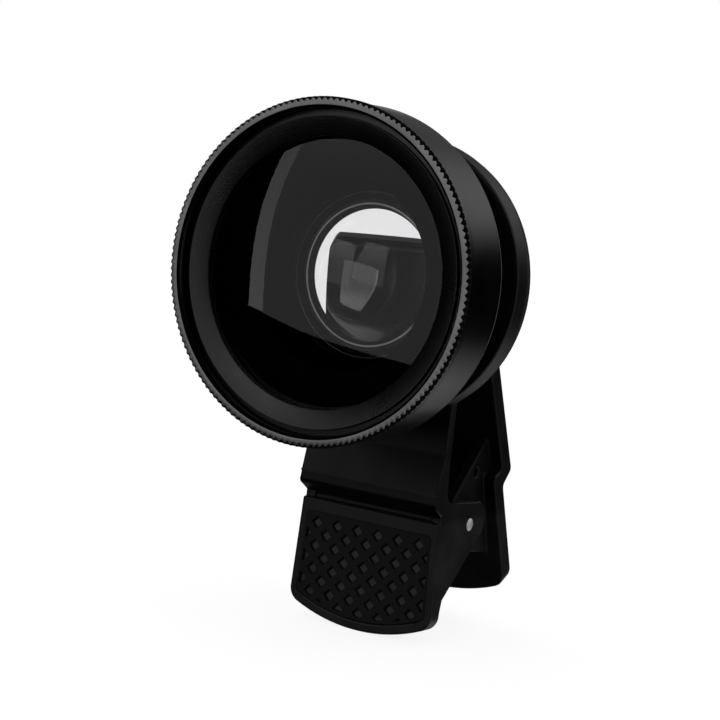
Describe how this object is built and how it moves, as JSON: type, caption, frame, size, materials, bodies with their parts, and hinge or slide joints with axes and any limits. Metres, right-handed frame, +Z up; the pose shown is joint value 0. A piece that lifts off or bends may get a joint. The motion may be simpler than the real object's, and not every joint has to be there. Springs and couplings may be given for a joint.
{
  "type": "clip on phone lens",
  "caption": "Clip-on camera attachment for a phone: a wide lens screwed on a macro lens, screwed into a sprung clip with rubber pads.",
  "frame": {"origin": "on the optical axis, in the plane where the back of the phone touches the rubber ring", "axes": "+Y from the lens into the phone along the optical axis, +Z up, the clip hangs down, +X to the right seen from the front of the lens"},
  "size_m": [0.0514, 0.054, 0.0827],
  "materials": {
    "barrel_metal": "black anodised satin",
    "bezel_metal": "fine-blasted black",
    "inner_metal": "turned, dark grey",
    "lens_glass": "clear, coated",
    "clip_plastic": "satin black moulded",
    "grip_rubber": "soft black with moulded pockets",
    "pad_rubber": "soft black",
    "pin_steel": "bright domed rivet",
    "spring_steel": "bright spring wire"
  },
  "bodies": {
    "clip": {"front_arm": "clip_plastic", "front_grip_pad": "grip_rubber", "front_jaw_pad": "pad_rubber", "hinge_pin": "pin_steel", "torsion_spring": "spring_steel"},
    "rear_lever": {"rear_arm": "clip_plastic", "rear_grip_pad": "grip_rubber", "rear_jaw_pad": "pad_rubber"},
    "macro_optic": {"macro_lens": "lens_glass", "macro_retaining_ring": "inner_metal"},
    "macro_body": {"macro_barrel": "barrel_metal"},
    "wide_optic": {"front_lens": "lens_glass", "front_retaining_ring": "bezel_metal"},
    "wide_body": {"wide_barrel": "barrel_metal"}
  },
  "joints": [
    {"name": "clip_hinge", "type": "hinge", "parent": "clip", "child": "rear_lever", "pos_m": [0, 0.008, -0.0383], "axis": [-1, 0, 0], "range_deg": [0, 28], "stiffness_Nm_per_rad": 0.1, "springref_deg": -28.65, "deforming": ["torsion_spring"]},
    {"name": "macro_feed", "type": "slide", "parent": "clip", "child": "macro_optic", "axis": [0, -1, 0], "range_m": [0, 0.003]},
    {"name": "macro_screw", "type": "hinge", "parent": "macro_optic", "child": "macro_body", "pos_m": [0, 0, 0], "axis": [0, -1, 0], "range_deg": [0, 1440]},
    {"name": "wide_feed", "type": "slide", "parent": "macro_body", "child": "wide_optic", "axis": [0, -1, 0], "range_m": [0, 0.00225]},
    {"name": "wide_screw", "type": "hinge", "parent": "wide_optic", "child": "wide_body", "pos_m": [0, 0, 0], "axis": [0, -1, 0], "range_deg": [0, 1080]}
  ],
  "couplings": [
    {"joint": "macro_feed", "follows": "macro_screw", "m_per_rad": 0.00011936},
    {"joint": "wide_feed", "follows": "wide_screw", "m_per_rad": 0.00011936}
  ]
}
